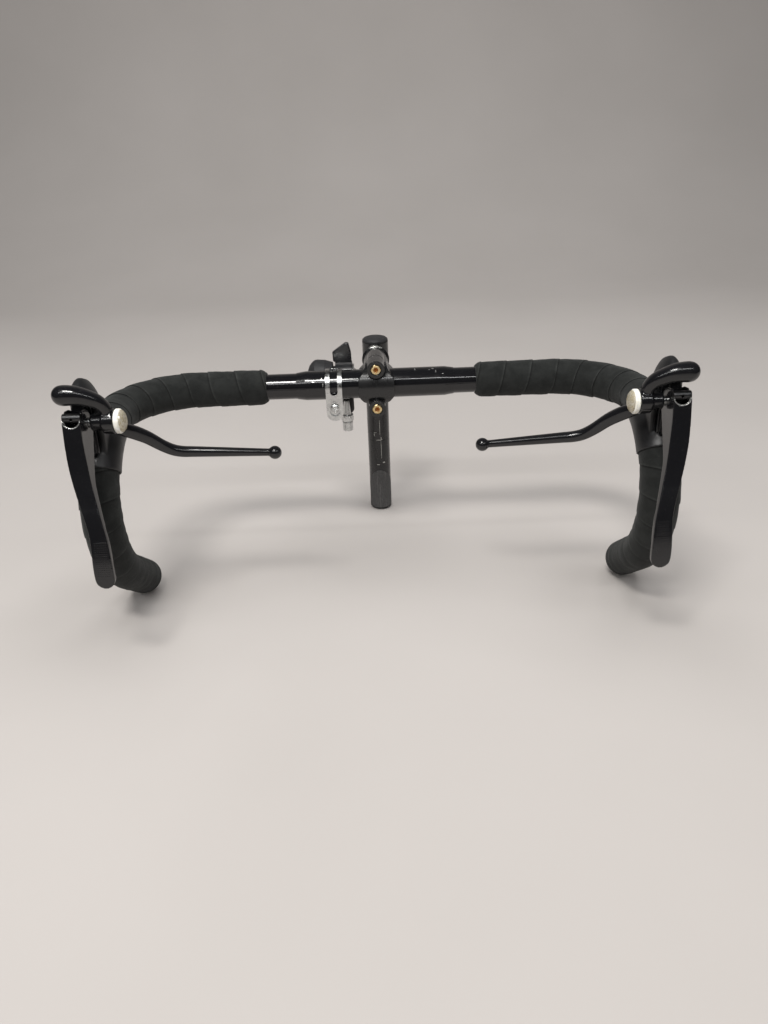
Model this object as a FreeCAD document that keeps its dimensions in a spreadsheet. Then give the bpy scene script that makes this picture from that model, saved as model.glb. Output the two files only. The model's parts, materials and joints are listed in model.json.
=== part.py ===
import FreeCAD, Part
import math
import operator
import os

import Sketcher
from FreeCAD import Placement, Rotation, Vector

# Drop handlebar of a road bicycle, as one assembly: a steel bar with a thick
# centre sleeve, wrapped in tape, held by a quill stem with a two-bolt
# faceplate, with a brake lever and an extension lever on each side and one
# gear shifter beside the stem.
#
# Row frame: +Z up along the quill, +X along the bar, -Y forward, towards the
# brake levers. The origin is on the quill's axis at its minimum-insertion line.
# Everything is drawn in the bar frame, whose origin is the middle of the bar's
# straight top, and each piece is then placed in the row frame.

SIZES = {
    # bent bar
    "bar_radius": 11.1,
    "bar_wall": 1.6,
    "bar_half_width": 215,
    "corner_radius": 62,
    "ramp_length": 4,
    "hook_radius": 64,
    "drop_radius": 74,
    "drop_turn": 52,
    "end_length": 50,
    "sleeve_radius": 12.7,
    "sleeve_left": 70,
    "sleeve_right": 68,
    "sleeve_taper": 8,
    "tape_radius": 15.4,
    "tape_start_left": 96,
    "tape_start_right": 87,
    "plug_radius": 13.2,
    "plug_shank": 18,
    # stem
    "extension_length": 85,
    "extension_radius": 11.5,
    "extension_bore": 7.5,
    "quill_radius": 11.1,
    "quill_bore": 8.1,
    "insert_depth": 65,
    "head_radius": 12.6,
    "head_top": 15,
    "slant_top": 46.5,
    "slant_drop": 38,
    "clamp_width": 31,
    "clamp_radius": 18.5,
    "clamp_gap": 0.6,
    "boss_radius": 7.6,
    "bolt_offset": 17.7,
    "bolt_radius": 2.5,
    "bolt_head_radius": 4.3,
    "expander_radius": 4,
    # shifter
    "shifter_x": -37.3,
    "band_width": 14.5,
    "band_wall": 1.5,
    "drum_y": 28.6,
    "drum_radius": 14.2,
    "shifter_pin": 3,
    "adjuster_x": -27.5,
    "adjuster_y": 5,
    # brake and extension levers
    "mount_turn": 35,
    "pivot_y": -130.5,
    "pivot_z": 22,
    "pivot_radius": 3,
    "running_gap": 0.05,
    "core_width": 12.6,
    "tongue_width": 7.6,
    "hood_width": 21,
    "hood_top": 50,
    "blade_width": 13,
    "hub_reach": 26.5,
    "cheek": 1.6,
    "anchor_y": -141.7,
    "anchor_z": 29.5,
    "anchor_radius": 3.2,
    "washer_radius": 9,
}

DOC = FreeCAD.newDocument("drop_handlebar")
SHEET = DOC.addObject("Spreadsheet::Sheet", "Sizes")
for row, (alias, number) in enumerate(SIZES.items(), start=1):
    SHEET.set(f"A{row}", alias)
    SHEET.set(f"B{row}", str(number))
    SHEET.setAlias(f"B{row}", alias)
DOC.recompute()

NODES = []


class Size:
    """A number that also carries its formula in the sheet."""

    OPERATIONS = {
        "+": operator.add,
        "-": operator.sub,
        "*": operator.mul,
        "/": operator.truediv,
    }

    def __init__(self, number, formula):
        self.number = float(number)
        self.formula = formula

    def __float__(self):
        return self.number

    def __add__(self, other):
        return join(self, "+", other)

    def __radd__(self, other):
        return join(other, "+", self)

    def __sub__(self, other):
        return join(self, "-", other)

    def __rsub__(self, other):
        return join(other, "-", self)

    def __mul__(self, other):
        return join(self, "*", other)

    def __rmul__(self, other):
        return join(other, "*", self)

    def __truediv__(self, other):
        return join(self, "/", other)

    def __neg__(self):
        return join(-1, "*", self)


def as_size(thing):
    """Wraps a plain number as a Size."""
    if isinstance(thing, Size):
        return thing
    return Size(thing, f"({float(thing):.6f})")


def join(left, sign, right):
    """Combines two Sizes in number and in formula alike."""
    left, right = as_size(left), as_size(right)
    number = Size.OPERATIONS[sign](left.number, right.number)
    return Size(number, f"({left.formula} {sign} {right.formula})")


def cell(alias):
    """The Size held in one cell of the sheet."""
    return Size(SHEET.get(alias), f"Sizes.{alias}")


def sine(turn):
    return Size(math.sin(math.radians(turn.number)), f"sin({turn.formula} * 1 deg)")


def cosine(turn):
    return Size(math.cos(math.radians(turn.number)), f"cos({turn.formula} * 1 deg)")


def put(thing, prop, size):
    """Binds one property to its formula, or sets a plain number."""
    if isinstance(size, Size):
        thing.setExpression(prop, size.formula)
    elif not prop.startswith("."):
        setattr(thing, prop, float(size))


BAR_RADIUS = cell("bar_radius")
TAPE_RADIUS = cell("tape_radius")
HALF_WIDTH = cell("bar_half_width")
CORNER = cell("corner_radius")
HOOK = cell("hook_radius")
DROP = cell("drop_radius")
TURN = cell("drop_turn")
SLEEVE = cell("sleeve_radius")

HOOK_Y = -(CORNER + cell("ramp_length"))
DROP_Y = HOOK_Y - HOOK + DROP
END_Y = DROP_Y - DROP * cosine(TURN) + cell("end_length") * sine(TURN)
END_Z = -(HOOK + DROP * sine(TURN) + cell("end_length") * cosine(TURN))
STAND_HEIGHT = TAPE_RADIUS * sine(TURN) - END_Z
BAR_Z = STAND_HEIGHT - cell("insert_depth")
BAR_Y = -cell("extension_length")

ALONG = {
    "x": Vector(1, 0, 0),
    "-x": Vector(-1, 0, 0),
    "y": Vector(0, 1, 0),
    "-y": Vector(0, -1, 0),
    "z": Vector(0, 0, 1),
    "-z": Vector(0, 0, -1),
}


def move(thing, spot, turn=Rotation()):
    """Gives an object its Placement, with its base bound to the sheet."""
    thing.Placement = Placement(Vector(*map(float, spot)), turn)
    for axis, size in zip("xyz", spot):
        put(thing, f".Placement.Base.{axis}", size)


def to_row(spot):
    """A spot of the bar frame, in the row frame."""
    x, y, z = spot
    return (x, y + BAR_Y, z + BAR_Z)


def node(thing, label):
    """Names a finished piece and lists it for writing."""
    thing.Label = label
    NODES.append(thing)
    return thing


def at_bar(thing, label):
    """Lists a piece drawn in the bar frame and moves it to the row frame."""
    move(thing, to_row((0, 0, 0)))
    return node(thing, label)


# ---------------------------------------------------------------- builders


def cylinder(radius, length, start, toward="z"):
    """Round bar from start, running along one axis of the frame."""
    solid = DOC.addObject("Part::Cylinder", "Rod")
    put(solid, "Radius", radius)
    put(solid, "Height", length)
    move(solid, start, Rotation(Vector(0, 0, 1), ALONG[toward]))
    return solid


def box(corner, sides):
    """Block from its lowest corner."""
    solid = DOC.addObject("Part::Box", "Block")
    for prop, side in zip(("Length", "Width", "Height"), sides):
        put(solid, prop, side)
    move(solid, corner)
    return solid


def cone(radius_start, radius_end, length, start, toward):
    """Tapered round bar from start, running along one axis of the frame."""
    solid = DOC.addObject("Part::Cone", "Taper")
    put(solid, "Radius1", radius_start)
    put(solid, "Radius2", radius_end)
    put(solid, "Height", length)
    move(solid, start, Rotation(Vector(0, 0, 1), ALONG[toward]))
    return solid


def hexagon(across_corners, length, start, toward):
    """Six-sided prism from start, running along one axis of the frame."""
    solid = DOC.addObject("Part::Prism", "Hexagon")
    solid.Polygon = 6
    put(solid, "Circumradius", across_corners / 2)
    put(solid, "Height", length)
    move(solid, start, Rotation(Vector(0, 0, 1), ALONG[toward]))
    return solid


def fuse(*pieces):
    """One solid from several."""
    result = DOC.addObject("Part::MultiFuse", "Union")
    result.Shapes = list(pieces)
    result.Refine = True
    return result


def cut(base, *tools):
    """The base less its tools."""
    result = DOC.addObject("Part::Cut", "Cut")
    result.Base = base
    result.Tool = tools[0] if len(tools) == 1 else fuse(*tools)
    return result


def common(first, second):
    """What two solids share."""
    result = DOC.addObject("Part::MultiCommon", "Shared")
    result.Shapes = [first, second]
    return result


def rounded(base, radius, chosen):
    """Rounds the edges that the test picks, once the base is built."""
    DOC.recompute()
    picked = [
        (index, float(radius), float(radius))
        for index, edge in enumerate(base.Shape.Edges, start=1)
        if chosen(edge)
    ]
    result = DOC.addObject("Part::Fillet", "Rounded")
    result.Base = base
    result.Edges = picked
    return result


def plane_of(body, role):
    """One of a body's own origin planes."""
    return next(item for item in body.Origin.OriginFeatures if item.Role == role)


def outline(body, role, corners):
    """Closed straight-sided sketch whose corners are bound to the sheet."""
    sketch = body.newObject("Sketcher::SketchObject", "Outline")
    sketch.AttachmentSupport = (plane_of(body, role), [""])
    sketch.MapMode = "FlatFace"
    spots = [Vector(float(x), float(y), 0) for x, y in corners]
    for start, end in zip(spots, spots[1:] + spots[:1]):
        sketch.addGeometry(Part.LineSegment(start, end))
    count = len(corners)
    for index in range(count):
        following = (index + 1) % count
        sketch.addConstraint(Sketcher.Constraint("Coincident", index, 2, following, 1))
    for index, corner in enumerate(corners):
        for kind, size in zip(("DistanceX", "DistanceY"), corner):
            size = as_size(size)
            link = Sketcher.Constraint(kind, -1, 1, index, 1, size.number)
            number = sketch.addConstraint(link)
            sketch.setExpression(f"Constraints[{number}]", size.formula)
    return sketch


def turned(corners, spot=(0, 0, 0), toward=Vector(1, 0, 0)):
    """Lathe-turned body: corners are (along the axis, radius)."""
    body = DOC.addObject("PartDesign::Body", "Turned")
    sketch = outline(body, "XY_Plane", corners)
    revolution = body.newObject("PartDesign::Revolution", "Revolution")
    revolution.Profile = sketch
    revolution.ReferenceAxis = (sketch, ["H_Axis"])
    revolution.Angle = 360
    body.Tip = revolution
    move(body, spot, Rotation(Vector(1, 0, 0), toward))
    return body


def turned_at_bar(corners, spot, toward, label):
    """Lathe-turned piece standing at a spot of the bar frame."""
    return node(turned(corners, to_row(spot), toward), label)


def plate(corners, role, thickness, spot=(0, 0, 0)):
    """Flat body: an outline on one origin plane, padded to both sides."""
    body = DOC.addObject("PartDesign::Body", "Plate")
    sketch = outline(body, role, corners)
    pad = body.newObject("PartDesign::Pad", "Pad")
    pad.Profile = sketch
    pad.SideType = "Symmetric"
    put(pad, "Length", thickness)
    body.Tip = pad
    move(body, spot)
    return body


def feature(shape, name="Shape"):
    """A document object around a shape made by Part's functions."""
    thing = DOC.addObject("Part::Feature", name)
    thing.Shape = shape
    return thing


def solid_sweep(edges, radius):
    """Round rod of one radius along tangent edges."""
    path = Part.Wire(edges)
    start = path.Vertexes[0].Point
    tangent = edges[0].tangentAt(edges[0].FirstParameter)
    circle = Part.Edge(Part.Circle(start, tangent, float(radius)))
    shell = Part.BRepOffsetAPI.MakePipeShell(path)
    shell.setFrenetMode(False)
    shell.add(Part.Wire([circle]), False, False)
    shell.build()
    shell.makeSolid()
    swept = shell.shape()
    wanted = math.pi * float(radius) ** 2 * path.Length
    if abs(swept.Volume / wanted - 1) > 0.01:
        raise ValueError("a swept rod has the wrong volume")
    return swept


def limb(spots, radii):
    """Forged arm: round tapers between round joints."""
    result = None
    spots = [Vector(*map(float, spot)) for spot in spots]
    for index, (spot, radius) in enumerate(zip(spots, radii)):
        pieces = [Part.makeSphere(radius, spot)]
        if index:
            before, wide = spots[index - 1], radii[index - 1]
            run = spot - before
            if abs(wide - radius) < 0.01:
                pieces.append(Part.makeCylinder(radius, run.Length, before, run))
            else:
                pieces.append(Part.makeCone(wide, radius, run.Length, before, run))
        for piece in pieces:
            result = piece if result is None else result.fuse(piece)
    return result.removeSplitter()


def prism(points, axis_low, axis_high, across):
    """Solid with a straight or curved side, from edges or corner points."""
    if isinstance(points[0], Vector):
        wire = Part.makePolygon(points + points[:1])
    else:
        wire = Part.Wire(points)
    face = Part.Face(wire)
    face.translate(across * axis_low)
    return face.extrude(across * (axis_high - axis_low))


def softened(corners, radius):
    """Closed side outline of (Y, Z) corners, each corner eased by an arc."""
    points = side_view(corners)
    arcs = []
    for index, corner in enumerate(points):
        ways = [points[index - 1] - corner, points[(index + 1) % len(points)] - corner]
        half = ways[0].getAngle(ways[1]) / 2
        reach = min([radius / math.tan(half)] + [0.45 * way.Length for way in ways])
        first, last = (corner + way.normalize() * reach for way in ways)
        inward = (ways[0] + ways[1]).normalize()
        depth = reach / math.cos(half) - reach * math.tan(half)
        arcs.append(Part.Arc(first, corner + inward * depth, last).toShape())
    edges = []
    for arc, following in zip(arcs, arcs[1:] + arcs[:1]):
        start, end = arc.Vertexes[-1].Point, following.Vertexes[0].Point
        edges += [arc, Part.LineSegment(start, end).toShape()]
    return edges


# ---------------------------------------------------------------- bent bar


def bar_path(side, start):
    """Centre line of one half of the bar, from the top outwards."""
    width, corner, hook, drop = map(float, (HALF_WIDTH, CORNER, HOOK, DROP))
    hook_y, drop_y = float(HOOK_Y), float(DROP_Y)
    turn = math.radians(TURN.number)
    run = float(cell("end_length"))

    def corner_spot(angle):
        across = width - corner + corner * math.sin(angle)
        return Vector(side * across, corner * (math.cos(angle) - 1), 0)

    def hook_spot(angle):
        forward = hook_y - hook * math.sin(angle)
        return Vector(side * width, forward, hook * (math.cos(angle) - 1))

    def drop_spot(angle):
        forward = drop_y - drop * math.cos(angle)
        return Vector(side * width, forward, -hook - drop * math.sin(angle))

    quarter = math.pi / 2
    ramp_end = hook_spot(0)
    drop_end = drop_spot(turn)
    end = drop_end + Vector(0, math.sin(turn), -math.cos(turn)) * run
    return [
        Part.LineSegment(Vector(side * start, 0, 0), corner_spot(0)).toShape(),
        Part.Arc(corner_spot(0), corner_spot(quarter / 2), corner_spot(quarter)).toShape(),
        Part.LineSegment(corner_spot(quarter), ramp_end).toShape(),
        Part.Arc(ramp_end, hook_spot(quarter / 2), hook_spot(quarter)).toShape(),
        Part.Arc(drop_spot(0), drop_spot(turn / 2), drop_end).toShape(),
        Part.LineSegment(drop_end, end).toShape(),
    ]


def hook_ring(inner, outer, first, last):
    """Ring round the right hook, between two turns of its arc in degrees."""
    centre = Vector(HALF_WIDTH.number, HOOK_Y.number, -HOOK.number)
    top = centre + Vector(0, 0, HOOK.number)
    ahead = Vector(0, -1, 0)
    disc = Part.Face(Part.Wire(Part.makeCircle(outer, top, ahead)))
    if inner:
        disc = disc.cut(Part.Face(Part.Wire(Part.makeCircle(inner, top, ahead))))
    disc.rotate(centre, ALONG["x"], first)
    return disc.revolve(centre, ALONG["x"], last - first)


def build_bar():
    """Bent tube, its thick centre sleeve and the two end plugs."""
    halves = []
    for radius in (BAR_RADIUS, BAR_RADIUS - cell("bar_wall")):
        sides = [solid_sweep(bar_path(side, 0), radius) for side in (-1, 1)]
        halves.append(sides[0].fuse(sides[1]).removeSplitter())
    at_bar(feature(halves[0].cut(halves[1])), "handlebar_tube")

    left, right = -cell("sleeve_left"), cell("sleeve_right")
    lip = BAR_RADIUS + 0.4
    sleeve = turned([
        (left, BAR_RADIUS),
        (left, lip),
        (left + cell("sleeve_taper"), SLEEVE),
        (right - cell("sleeve_taper"), SLEEVE),
        (right, lip),
        (right, BAR_RADIUS),
    ])
    at_bar(sleeve, "centre_sleeve")

    bore = BAR_RADIUS - cell("bar_wall")
    plug = cell("plug_radius")
    outward = Vector(0, math.sin(math.radians(TURN.number)), -math.cos(math.radians(TURN.number)))
    for side, name in ((-1, "left"), (1, "right")):
        body = turned([
            (-cell("plug_shank"), 0),
            (-cell("plug_shank"), bore - 1.4),
            (-2, bore - 0.05),
            (0, bore - 0.05),
            (0, plug),
            (1.4, plug),
            (2.6, plug - 2),
            (3.6, plug - 6),
            (4, 0),
        ], to_row((side * HALF_WIDTH, END_Y, END_Z)), outward)
        node(body, f"bar_end_plug_{name}")


# ---------------------------------------------------------------- brake levers


def mount_spot(out, along):
    """Bar-frame Y and Z of a spot on the lever: out of the bar, down along it."""
    turn = math.radians(float(cell("mount_turn")))
    y = HOOK_Y.number - (HOOK.number + out) * math.sin(turn) - along * math.cos(turn)
    z = -HOOK.number + (HOOK.number + out) * math.cos(turn) - along * math.sin(turn)
    return y, z


def side_view(corners):
    """Corner points of a side outline, given as bar-frame Y and Z."""
    return [Vector(0, y, z) for y, z in corners]


def across_x(radius, low, high, y, z):
    """Round bar along X between two distances from the bar's middle."""
    return Part.makeCylinder(float(radius), high - low, Vector(low, y, z), ALONG["x"])


def lever_core(middle):
    """Cast lever body: the part between the blade's cheeks."""
    half = float(cell("core_width")) / 2
    corners = [
        (-92, -2), (-97, 22), (-104, 33), (-109, 39), (-123, 39.5), (-127, 35), (-130, 31.5),
        (-136, 29), (-138.5, 22), (-137, 14), (-132, 7), (-128, 0), (-124, -8), (-118, -22),
    ]
    core = prism(softened(corners, 3), middle - half, middle + half, ALONG["x"])
    tongue = float(cell("tongue_width")) / 2
    sides = [
        Part.makeBox(20, 40, 120, Vector(middle + tongue, -161, -60)),
        Part.makeBox(20, 40, 120, Vector(middle - tongue - 20, -161, -60)),
    ]
    return core.cut(sides)


def lever_bolt_tools(middle):
    """Axis start and direction of the clamp bolt, out of the bar."""
    y, z = mount_spot(0, 0)
    turn = math.radians(float(cell("mount_turn")))
    return Vector(middle, y, z), Vector(0, -math.sin(turn), math.cos(turn))


def blade_shape(middle):
    """Brake blade: an open channel with two cheeks round the pivot."""
    wall = float(cell("cheek"))
    width = float(cell("blade_width"))
    pivot_y, pivot_z = float(cell("pivot_y")), float(cell("pivot_z"))
    anchor_y, anchor_z = float(cell("anchor_y")), float(cell("anchor_z"))

    def side(depth):
        rim = Vector(0, -146.5 + depth, 28)
        waist = Vector(0, -166 + depth, -30)
        tip = Vector(0, -183 + depth, -87.5)
        upper = Part.Arc(rim, Vector(0, -154.6 + depth, -1.5), waist)
        lower = Part.Arc(waist, Vector(0, -176.3 + depth, -54), tip)
        return [upper.toShape(), lower.toShape()]

    front = side(0)
    back = [
        Vector(0, -183, -87.5), Vector(0, -178.5, -87.5), Vector(0, -177, -72),
        Vector(0, -169, -47), Vector(0, -151.5, -17), Vector(0, -135, 1),
        Vector(0, -124.5, 14), Vector(0, -122.5, 19), Vector(0, -122.5, 25),
        Vector(0, -126, 29.5), Vector(0, -132, 32.5), Vector(0, -138, 33.5),
        Vector(0, -143, 31.5), Vector(0, -146.5, 28),
    ]
    outer = prism(front + Part.makePolygon(back).Edges, middle - 2 * width, middle + 2 * width, ALONG["x"])
    hollow_back = [
        Vector(0, -183 + wall, -87.5), Vector(0, -100, -87.5), Vector(0, -100, 60),
        Vector(0, -146.5 + wall, 60), Vector(0, -146.5 + wall, 28),
    ]
    hollow_edges = side(wall) + Part.makePolygon(hollow_back).Edges
    hollow = prism(hollow_edges, middle - 2 * width, middle + 2 * width, ALONG["x"])

    outer_edge = [(6.5, 60), (6.5, 20), (6.2, 6), (5.4, -3), (3.2, -15), (-0.8, -30),
                  (-4.4, -42), (-5.9, -50), (-6.2, -60), (-6.3, -80.5)]
    inner_edge = [(-20.3, -80.5), (-19.9, -66), (-18.6, -53), (-16, -41), (-13, -29),
                  (-10, -15), (-8.2, -2), (-7, 10), (-6.5, 24), (-6.5, 60)]

    def eased(corners, inset):
        line = Part.BSplineCurve()
        line.interpolate([Vector(middle + x + inset, 0, z) for x, z in corners])
        return line.toShape()

    def front_view(inset):
        toe, tip_x, tip_z = 7 - inset, middle - 13.3, -80.5
        return prism([
            eased(outer_edge, -inset),
            Part.Arc(
                Vector(tip_x + toe, 0, tip_z),
                Vector(tip_x, 0, tip_z - toe),
                Vector(tip_x - toe, 0, tip_z),
            ).toShape(),
            eased(inner_edge, inset),
            Part.LineSegment(
                Vector(middle - 6.5 + inset, 0, 60), Vector(middle + 6.5 - inset, 0, 60),
            ).toShape(),
        ], -200, -90, ALONG["y"])

    shell = outer.common(front_view(0)).cut(hollow.common(front_view(wall)))
    mouth = Part.makeCylinder(6.2, 7, Vector(middle, -152, 30.4), ALONG["y"])
    shell = shell.cut(mouth)
    gap = float(cell("running_gap"))
    pivot = across_x(float(cell("pivot_radius")) + gap, middle - 20, middle + 20, pivot_y, pivot_z)
    anchor = across_x(float(cell("anchor_radius")), middle - 20, middle + 20, anchor_y, anchor_z)
    return shell.cut([pivot, anchor])


def extension_shape(middle):
    """Extension lever: hub plate, hooked tongue and arm with a ball end."""
    pivot_y, pivot_z = float(cell("pivot_y")), float(cell("pivot_z"))
    outer_face = middle - float(cell("hub_reach"))
    radius = float(cell("washer_radius"))
    hub = across_x(radius, outer_face, outer_face + 9, pivot_y, pivot_z)
    neck = across_x(6.4, outer_face, middle - 9, pivot_y, pivot_z)
    mid_hub = outer_face + 5
    tongue = limb([
        (mid_hub, pivot_y - 0.5, pivot_z + 5), (mid_hub + 1, -132, 32.5),
        (mid_hub + 4.6, -134, 38.2), (middle - 11, -136, 42), (middle - 4.5, -137.4, 44.4),
        (middle + 5, -137.6, 45),
    ], [4.4, 4.8, 5.4, 6, 6.8, 7.3])
    arm = limb([
        (mid_hub, pivot_y + 4.5, pivot_z - 4), (mid_hub - 1.5, -123.5, 14.5),
        (middle - 28, -121, 11.5), (middle - 34, -117, 7.2), (middle - 41, -112.5, 1.2),
        (middle - 49, -107, -7.6), (middle - 56, -103.5, -13.6), (middle - 63, -101.8, -15.6),
        (middle - 72, -100.6, -16.4), (87.5, -97, -21), (81.6, -97, -21.4),
    ], [4, 4.4, 5.2, 5.2, 4.9, 4.5, 4.4, 4.3, 4.1, 2.9, 5.3])
    hole = across_x(
        float(cell("pivot_radius")) + float(cell("running_gap")),
        outer_face - 5, middle - 5, pivot_y, pivot_z,
    )
    seat = across_x(radius + 0.2, outer_face - 8, outer_face, pivot_y, pivot_z)
    return hub.fuse([neck, tongue, arm]).removeSplitter().cut([hole, seat])


def build_right_lever():
    """All pieces of the right brake lever, drawn in the bar frame."""
    middle = HALF_WIDTH.number
    pivot_y, pivot_z = float(cell("pivot_y")), float(cell("pivot_z"))
    pin = float(cell("pivot_radius"))
    rod = solid_sweep(bar_path(1, cell("tape_start_right").number), TAPE_RADIUS)
    bar = solid_sweep(bar_path(1, 100), BAR_RADIUS)
    core = lever_core(middle)

    turn = cell("mount_turn").number
    band = hook_ring(BAR_RADIUS.number, BAR_RADIUS.number + 1, turn - 5.5, turn + 5.5)
    start, out = lever_bolt_tools(middle)
    boss = Part.makeCylinder(4, 8, start + out * BAR_RADIUS.number, out)
    boss = boss.cut(hook_ring(0, BAR_RADIUS.number, turn - 12, turn + 12))
    thread = Part.makeCylinder(2.5, 20, start + out * 12, out)
    band = band.fuse(boss).cut(thread)
    shank = Part.makeCylinder(2.5, 16, start + out * 13, out)
    head = Part.makeCylinder(4.4, 4, start + out * 29, out)
    socket = Part.makeCylinder(2.2, 3, start + out * 30.5, out)
    bolt = shank.fuse(head).removeSplitter().cut(socket)

    well = Part.makeCylinder(5, 9, start + out * 29, out)
    passage = Part.makeCylinder(2.7, 40, start, out)
    boss_room = Part.makeCylinder(4.1, 20, start, out)
    window_y, window_z = mount_spot(28, 0)
    window = Part.makeBox(10, 30, 8, Vector(middle - 5, -30, 0))
    window.rotate(Vector(0, 0, 0), ALONG["x"], turn)
    window.translate(Vector(0, window_y, window_z))
    hole = across_x(pin, middle - 20, middle + 20, pivot_y, pivot_z)
    ring_room = hook_ring(BAR_RADIUS.number, BAR_RADIUS.number + 1, turn - 5.5, turn + 5.5)
    body = core.cut([bar, ring_room, boss_room, passage, well, window, hole])

    side = prism(softened([
        (-92, -10), (-93, 10), (-100, 34), (-106, 46), (-113, 50), (-123, 50), (-129, 46),
        (-129.5, 41), (-124, 35), (-117.5, 29), (-117.5, 8), (-120, -8), (-118, -22),
    ], 6), middle - 20, middle + 20, ALONG["x"])
    half = float(cell("hood_width")) / 2
    top = float(cell("hood_top"))
    brow = 18.0
    arch = Part.makeBox(2 * half, 80, brow + 60, Vector(middle - half, -160, -60))
    stretch = FreeCAD.Matrix()
    stretch.scale(Vector(half, 22, top - brow))
    crown = Part.makeSphere(1).transformGeometry(stretch)
    crown.translate(Vector(middle, -114, brow))
    skirt = hook_ring(0, TAPE_RADIUS.number + 1.4, turn - 19, turn + 17)
    hood = side.common(arch.fuse(crown)).fuse(skirt).cut([rod, core])

    tape_bore = solid_sweep(bar_path(1, cell("tape_start_right").number), BAR_RADIUS)
    tape = rod.cut([tape_bore, core, ring_room, Part.makeCylinder(4.1, 20, start, out)])

    outside = middle + float(cell("blade_width")) / 2
    pivot = across_x(pin, middle - cell("hub_reach").number - 3.6, outside + 0.4, pivot_y, pivot_z)
    pivot = pivot.fuse(across_x(5.5, outside + 0.4, outside + 2.4, pivot_y, pivot_z))
    anchor = across_x(cell("anchor_radius"), middle - 6.4, middle + 6.4,
                      float(cell("anchor_y")), float(cell("anchor_z")))
    anchor = anchor.cut(Part.makeCylinder(
        1, 20, Vector(middle, float(cell("anchor_y")) - 10, float(cell("anchor_z"))), ALONG["y"]))

    shapes = {
        "bar_tape": tape,
        "lever_clamp_band": band,
        "lever_clamp_bolt": bolt,
        "lever_body": body,
        "lever_hood": hood,
        "pivot_pin": pivot.removeSplitter(),
        "brake_blade": blade_shape(middle),
        "cable_anchor": anchor,
        "extension_lever": extension_shape(middle),
    }
    pieces = {}
    for name, shape in shapes.items():
        pieces[name] = at_bar(feature(shape), f"{name}_right")

    washer = cell("washer_radius")
    hole_radius = cell("pivot_radius")
    spot = to_row((HALF_WIDTH - cell("hub_reach") - 4, cell("pivot_y"), cell("pivot_z")))
    pieces["pivot_washer"] = node(turned([
        (0, hole_radius), (0, washer - 0.8), (0.8, washer), (3.2, washer),
        (3.9, washer - 0.7), (3.9, hole_radius),
    ], spot), "pivot_washer_right")
    cap = turned([
        (0, 0), (0, washer - 1.2), (0.8, washer - 1.2), (2, washer - 2.6), (2.8, washer - 4.6),
        (3.2, 0),
    ], spot, Vector(-1, 0, 0))
    pieces["pivot_cap"] = node(cap, "pivot_cap_right")
    return pieces


def build_levers():
    """Right lever set, and the left one as its mirror image."""
    for name, piece in build_right_lever().items():
        if name == "bar_tape":
            continue
        mirrored = DOC.addObject("Part::Mirroring", "Mirrored")
        mirrored.Source = piece
        mirrored.Normal = ALONG["x"]
        mirrored.Base = Vector(0, 0, 0)
        node(mirrored, f"{name}_left")


def build_left_tape():
    """Left tape, which starts a little further from the stem."""
    turn = cell("mount_turn").number
    start_x = cell("tape_start_left").number
    rod = solid_sweep(bar_path(-1, start_x), TAPE_RADIUS)
    bore = solid_sweep(bar_path(-1, start_x), BAR_RADIUS)
    start, out = lever_bolt_tools(HALF_WIDTH.number)
    tools = [
        lever_core(HALF_WIDTH.number),
        hook_ring(BAR_RADIUS.number, BAR_RADIUS.number + 1, turn - 5.5, turn + 5.5),
        Part.makeCylinder(4.1, 20, start, out),
    ]
    tools = [tool.mirror(Vector(0, 0, 0), ALONG["x"]) for tool in tools]
    at_bar(feature(rod.cut([bore] + tools)), "bar_tape_left")


# ---------------------------------------------------------------- stem


def clamp_half(side):
    """One half of the bar clamp: side -1 in front, 1 behind."""
    width = cell("clamp_width")
    offset = cell("bolt_offset")
    toward = "y" if side > 0 else "-y"
    barrel = cylinder(cell("clamp_radius"), width, (-width / 2, 0, 0), "x")
    bosses = [
        cylinder(cell("boss_radius"), cell("clamp_radius"), (0, 0, sign * offset), toward)
        for sign in (-1, 1)
    ]
    half, waist = width / 2, cell("boss_radius") - 1.2
    tall = offset + cell("boss_radius")
    shape = plate([
        (-waist, tall), (-half + 5, 15), (-half, 8), (-half, -6.5), (-half + 4, -12.5),
        (-waist, -16), (-waist, -tall), (waist, -tall), (waist, -16), (half - 4, -12.5),
        (half, -6.5), (half, 8), (half - 5, 15), (waist, tall),
    ], "XZ_Plane", 60)
    lump = common(fuse(barrel, *bosses), shape)
    gap = cell("clamp_gap")
    low = -60 if side > 0 else -gap
    slab = box((-40, low, -40), (80, 60 + gap if side > 0 else 60, 80))
    bore = cylinder(SLEEVE, 80, (-40, 0, 0), "x")
    return cut(lump, slab, bore)


def slant_block():
    """Block under the slanted plane where the quill meets its wedge."""
    drop = float(cell("slant_drop"))
    radius = cell("quill_radius")
    tilt = math.degrees(math.atan2(drop, 2 * radius.number))
    solid = DOC.addObject("Part::Box", "Slant")
    for prop, side in (("Length", 60), ("Width", 80), ("Height", 60)):
        put(solid, prop, side)
    turn = Rotation(ALONG["x"], -tilt)
    inset = turn.multVec(Vector(-30, -10, -60))
    y = cell("extension_length") - radius + inset.y
    z = cell("slant_top") - STAND_HEIGHT + inset.z
    move(solid, (inset.x, y, z), turn)
    return solid


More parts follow.
